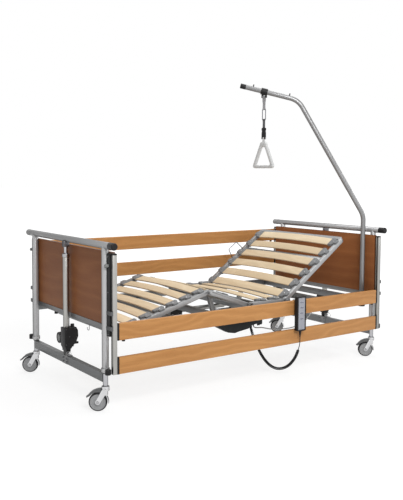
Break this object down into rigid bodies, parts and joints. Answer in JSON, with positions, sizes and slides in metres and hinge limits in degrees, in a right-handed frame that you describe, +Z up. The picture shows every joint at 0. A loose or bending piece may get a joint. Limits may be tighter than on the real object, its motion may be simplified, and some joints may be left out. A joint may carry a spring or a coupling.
{
  "type": "adjustable hospital bed",
  "caption": "Height-adjustable care bed with a slatted, jointed platform, sliding wooden side bars, braked casters, a lifting pole with trapeze handle and a wired handset.",
  "frame": {"origin": "on the floor, in the middle of the floor area the bed takes up with its wheels trailing towards the foot end", "axes": "+X runs along the bed towards the head end, +Y across it away from the handset side, +Z up"},
  "size_m": [2.2006, 1.148, 1.8868],
  "materials": {
    "silver_frame": "satin silver paint",
    "grey_frame": "satin grey paint",
    "steel": "bright steel",
    "chrome": "polished",
    "aluminium": "anodised",
    "black_plastic": "fine texture",
    "grey_plastic": "fine texture",
    "panel_wood": "varnished red-brown board",
    "bar_wood": "varnished beech",
    "slat_wood": "varnished birch plywood",
    "tyre": "grey tyre",
    "webbing": "woven",
    "white_plastic": "smooth",
    "cord_black": "matt",
    "cord_grey": "matt"
  },
  "bodies": {
    "foot_base": {"foot_base_frame": "grey_frame", "foot_lift_drive": "black_plastic"},
    "head_base": {"head_base_frame": "grey_frame", "head_lift_drive": "black_plastic"},
    "main_frame": {"end_frames": "silver_frame", "top_tube_caps": "black_plastic", "end_panels": "panel_wood", "lift_rods": "chrome", "chassis": "silver_frame", "pole_sockets": "silver_frame", "control_box": "black_plastic", "back_drive": "black_plastic", "leg_drive": "black_plastic", "seat_slats": "slat_wood", "seat_holders": "black_plastic", "guide_rails": "aluminium", "latch_housings": "grey_plastic", "knobs_and_bushes": "black_plastic", "handset_curly_cord": "cord_black", "lift_cable": "cord_grey"},
    "back_section": {"back_frame": "silver_frame", "back_slats": "slat_wood", "back_holders": "black_plastic", "mattress_bow": "chrome"},
    "thigh_section": {"thigh_frame": "silver_frame", "thigh_slats": "slat_wood", "thigh_holders": "black_plastic"},
    "leg_section": {"leg_frame": "silver_frame", "leg_slats": "slat_wood", "leg_holders": "black_plastic"},
    "back_rod": {"back_drive_rod": "steel"},
    "leg_rod": {"leg_drive_rod": "steel"},
    "near_rail": {"near_bars": "bar_wood", "near_bar_ends": "black_plastic"},
    "far_rail": {"far_bars": "bar_wood", "far_bar_ends": "black_plastic"},
    "pole": {"pole": "silver_frame", "pole_cap_and_pegs": "black_plastic"},
    "clamp": {"strap_clamp": "black_plastic"},
    "strap": {"strap": "webbing", "strap_fittings": "steel"},
    "handle": {"trapeze_handle": "white_plastic"},
    "handset": {"handset": "black_plastic", "handset_lead": "cord_black"},
    "foot_near_caster": {"foot_near_fork": "steel"},
    "foot_near_wheel": {"foot_near_wheel": "tyre"},
    "foot_near_pedal": {"foot_near_brake_pedal": "grey_plastic"},
    "foot_near_release": {"foot_near_button": "black_plastic"},
    "foot_far_caster": {"foot_far_fork": "steel"},
    "foot_far_wheel": {"foot_far_wheel": "tyre"},
    "foot_far_pedal": {"foot_far_brake_pedal": "grey_plastic"},
    "foot_far_release": {"foot_far_button": "black_plastic"},
    "head_near_caster": {"head_near_fork": "steel"},
    "head_near_wheel": {"head_near_wheel": "tyre"},
    "head_near_pedal": {"head_near_brake_pedal": "grey_plastic"},
    "head_near_release": {"head_near_button": "black_plastic"},
    "head_far_caster": {"head_far_fork": "steel"},
    "head_far_wheel": {"head_far_wheel": "tyre"},
    "head_far_pedal": {"head_far_brake_pedal": "grey_plastic"},
    "head_far_release": {"head_far_button": "black_plastic"}
  },
  "joints": [
    {"name": "height_lift", "type": "slide", "parent": "foot_base", "child": "main_frame", "axis": [0, 0, 1], "range_m": [0, 0.4]},
    {"name": "head_leg_lift", "type": "slide", "parent": "main_frame", "child": "head_base", "axis": [0, 0, -1], "range_m": [0, 0.4]},
    {"name": "foot_near_swivel", "type": "hinge", "parent": "foot_base", "child": "foot_near_caster", "pos_m": [-1.00971, -0.464, 0.13], "axis": [0, 0, 1], "continuous": true},
    {"name": "foot_near_wheel_spin", "type": "hinge", "parent": "foot_near_caster", "child": "foot_near_wheel", "pos_m": [-1.04227, -0.44077, 0.05], "axis": [0.5807, 0.8141, 0], "continuous": true},
    {"name": "foot_near_brake", "type": "hinge", "parent": "foot_near_caster", "child": "foot_near_pedal", "pos_m": [-1.0211, -0.45587, 0.121], "axis": [0.5807, 0.8141, 0], "range_deg": [0, 12]},
    {"name": "foot_near_release_press", "type": "slide", "parent": "main_frame", "child": "foot_near_release", "axis": [1, 0, 0], "range_m": [0, 0.004], "stiffness_N_per_m": 600},
    {"name": "foot_far_swivel", "type": "hinge", "parent": "foot_base", "child": "foot_far_caster", "pos_m": [-1.00971, 0.464, 0.13], "axis": [0, 0, 1], "continuous": true},
    {"name": "foot_far_wheel_spin", "type": "hinge", "parent": "foot_far_caster", "child": "foot_far_wheel", "pos_m": [-1.04227, 0.48723, 0.05], "axis": [0.5807, 0.8141, 0], "continuous": true},
    {"name": "foot_far_brake", "type": "hinge", "parent": "foot_far_caster", "child": "foot_far_pedal", "pos_m": [-1.0211, 0.47213, 0.121], "axis": [0.5807, 0.8141, 0], "range_deg": [0, 12]},
    {"name": "foot_far_release_press", "type": "slide", "parent": "main_frame", "child": "foot_far_release", "axis": [1, 0, 0], "range_m": [0, 0.004], "stiffness_N_per_m": 600},
    {"name": "head_near_swivel", "type": "hinge", "parent": "head_base", "child": "head_near_caster", "pos_m": [1.07029, -0.464, 0.13], "axis": [0, 0, 1], "continuous": true},
    {"name": "head_near_wheel_spin", "type": "hinge", "parent": "head_near_caster", "child": "head_near_wheel", "pos_m": [1.03773, -0.44077, 0.05], "axis": [0.5807, 0.8141, 0], "continuous": true},
    {"name": "head_near_brake", "type": "hinge", "parent": "head_near_caster", "child": "head_near_pedal", "pos_m": [1.0589, -0.45587, 0.121], "axis": [0.5807, 0.8141, 0], "range_deg": [0, 12]},
    {"name": "head_near_release_press", "type": "slide", "parent": "main_frame", "child": "head_near_release", "axis": [-1, 0, 0], "range_m": [0, 0.004], "stiffness_N_per_m": 600},
    {"name": "head_far_swivel", "type": "hinge", "parent": "head_base", "child": "head_far_caster", "pos_m": [1.07029, 0.464, 0.13], "axis": [0, 0, 1], "continuous": true},
    {"name": "head_far_wheel_spin", "type": "hinge", "parent": "head_far_caster", "child": "head_far_wheel", "pos_m": [1.03773, 0.48723, 0.05], "axis": [0.5807, 0.8141, 0], "continuous": true},
    {"name": "head_far_brake", "type": "hinge", "parent": "head_far_caster", "child": "head_far_pedal", "pos_m": [1.0589, 0.47213, 0.121], "axis": [0.5807, 0.8141, 0], "range_deg": [0, 12]},
    {"name": "head_far_release_press", "type": "slide", "parent": "main_frame", "child": "head_far_release", "axis": [-1, 0, 0], "range_m": [0, 0.004], "stiffness_N_per_m": 600},
    {"name": "back_hinge", "type": "hinge", "parent": "main_frame", "child": "back_section", "pos_m": [0.30029, 0, 0.461], "axis": [0, -1, 0], "range_deg": [-35.5, 34.5]},
    {"name": "thigh_hinge", "type": "hinge", "parent": "main_frame", "child": "thigh_section", "pos_m": [-0.00271, 0, 0.461], "axis": [0, 1, 0], "range_deg": [-20, 8]},
    {"name": "knee_hinge", "type": "hinge", "parent": "thigh_section", "child": "leg_section", "pos_m": [-0.28461, 0, 0.56361], "axis": [0, 1, 0], "range_deg": [-14.5, 36.1]},
    {"name": "back_rod_slide", "type": "slide", "parent": "main_frame", "child": "back_rod", "axis": [1, 0, 0], "range_m": [-0.053, 0.0515]},
    {"name": "leg_rod_slide", "type": "slide", "parent": "main_frame", "child": "leg_rod", "axis": [-1, 0, 0], "range_m": [-0.0315, 0.0128]},
    {"name": "near_rail_lift", "type": "slide", "parent": "main_frame", "child": "near_rail", "axis": [0, 0, 1], "range_m": [0, 0.352]},
    {"name": "far_rail_lift", "type": "slide", "parent": "main_frame", "child": "far_rail", "axis": [0, 0, 1], "range_m": [-0.352, 0]},
    {"name": "pole_swivel", "type": "hinge", "parent": "main_frame", "child": "pole", "pos_m": [1.00529, -0.428, 0.4], "axis": [0, 0, 1], "range_deg": [-40, 40]},
    {"name": "clamp_slide", "type": "slide", "parent": "pole", "child": "clamp", "axis": [-0.7433, 0.6237, 0.2419], "range_m": [-0.142, 0.05]},
    {"name": "strap_swing", "type": "hinge", "parent": "clamp", "child": "strap", "pos_m": [0.47749, 0.01488, 1.79534], "axis": [-0.1219, 0.9925, 0], "range_deg": [-30, 30]},
    {"name": "handle_swing", "type": "hinge", "parent": "strap", "child": "handle", "pos_m": [0.47749, 0.01488, 1.512], "axis": [-0.1219, 0.9925, 0], "range_deg": [-25, 25]},
    {"name": "handset_lift_off", "type": "slide", "parent": "near_rail", "child": "handset", "axis": [0, 0, 1], "range_m": [0, 0.05]}
  ],
  "couplings": [
    {"joint": "head_leg_lift", "follows": "height_lift", "ratio": 1},
    {"joint": "knee_hinge", "follows": "thigh_hinge", "ratio": -1.8},
    {"joint": "back_rod_slide", "follows": "back_hinge", "m_per_rad": 0.0845},
    {"joint": "leg_rod_slide", "follows": "thigh_hinge", "m_per_rad": 0.0891}
  ]
}
